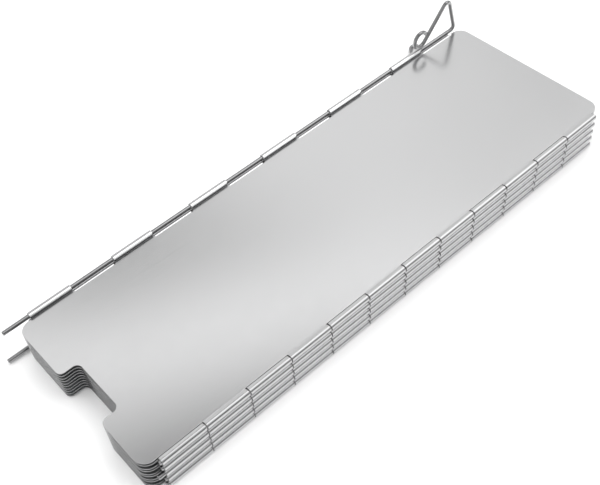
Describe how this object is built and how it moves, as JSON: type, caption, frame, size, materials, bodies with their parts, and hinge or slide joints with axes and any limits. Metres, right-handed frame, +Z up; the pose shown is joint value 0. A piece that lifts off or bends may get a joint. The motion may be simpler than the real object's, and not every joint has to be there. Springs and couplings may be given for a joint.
{
  "type": "folding stove windscreen",
  "caption": "Folded windscreen for a camping stove: aluminium plates hinged edge to edge on wire pins, with wire ground stakes along the two free edges and an air notch at the foot.",
  "frame": {"origin": "on the floor under the middle of the folded pack's box, stakes included", "axes": "+X from the foot end with the notch to the head end with the handles, +Y from the front hinge edge to the edge with the stakes, +Z up through the pack"},
  "size_m": [0.248, 0.1013, 0.0351],
  "materials": {
    "sheet": "satin",
    "pin_wire": "drawn wire",
    "stake_wire": "drawn wire"
  },
  "bodies": {
    "plate_1": {"plate_1": "sheet"},
    "plate_2": {"plate_2": "sheet", "hinge_pin_1": "pin_wire"},
    "plate_3": {"plate_3": "sheet", "hinge_pin_2": "pin_wire"},
    "plate_4": {"plate_4": "sheet", "hinge_pin_3": "pin_wire"},
    "plate_5": {"plate_5": "sheet", "hinge_pin_4": "pin_wire"},
    "plate_6": {"plate_6": "sheet", "hinge_pin_5": "pin_wire"},
    "plate_7": {"plate_7": "sheet", "hinge_pin_6": "pin_wire"},
    "plate_8": {"plate_8": "sheet", "hinge_pin_7": "pin_wire"},
    "plate_9": {"plate_9": "sheet", "hinge_pin_8": "pin_wire"},
    "plate_10": {"plate_10": "sheet", "hinge_pin_9": "pin_wire"},
    "upper_stake": {"upper_stake": "stake_wire"},
    "lower_stake": {"lower_stake": "stake_wire"}
  },
  "joints": [
    {"name": "hinge_9", "type": "hinge", "parent": "plate_10", "child": "plate_9", "pos_m": [0.004, -0.04922, 0.0014], "axis": [1, 0, 0], "range_deg": [0, 130]},
    {"name": "hinge_8", "type": "hinge", "parent": "plate_9", "child": "plate_8", "pos_m": [0.004, 0.03232, 0.0045], "axis": [-1, 0, 0], "range_deg": [0, 90]},
    {"name": "hinge_7", "type": "hinge", "parent": "plate_8", "child": "plate_7", "pos_m": [0.004, -0.04927, 0.00528], "axis": [1, 0, 0], "range_deg": [0, 130]},
    {"name": "hinge_6", "type": "hinge", "parent": "plate_7", "child": "plate_6", "pos_m": [0.004, 0.03229, 0.0076], "axis": [-1, 0, 0], "range_deg": [0, 90]},
    {"name": "hinge_5", "type": "hinge", "parent": "plate_6", "child": "plate_5", "pos_m": [0.004, -0.04929, 0.00915], "axis": [1, 0, 0], "range_deg": [0, 130]},
    {"name": "hinge_4", "type": "hinge", "parent": "plate_5", "child": "plate_4", "pos_m": [0.004, 0.03229, 0.0107], "axis": [-1, 0, 0], "range_deg": [0, 90]},
    {"name": "hinge_3", "type": "hinge", "parent": "plate_4", "child": "plate_3", "pos_m": [0.004, -0.04927, 0.01303], "axis": [1, 0, 0], "range_deg": [0, 130]},
    {"name": "hinge_2", "type": "hinge", "parent": "plate_3", "child": "plate_2", "pos_m": [0.004, 0.03232, 0.0138], "axis": [-1, 0, 0], "range_deg": [0, 90]},
    {"name": "hinge_1", "type": "hinge", "parent": "plate_2", "child": "plate_1", "pos_m": [0.004, -0.04922, 0.0169], "axis": [1, 0, 0], "range_deg": [0, 130]},
    {"name": "upper_stake_slide", "type": "slide", "parent": "plate_1", "child": "upper_stake", "axis": [1, 0, 0], "range_m": [-0.019, 0.205]},
    {"name": "lower_stake_slide", "type": "slide", "parent": "plate_10", "child": "lower_stake", "axis": [1, 0, 0], "range_m": [-0.016, 0.205]}
  ]
}
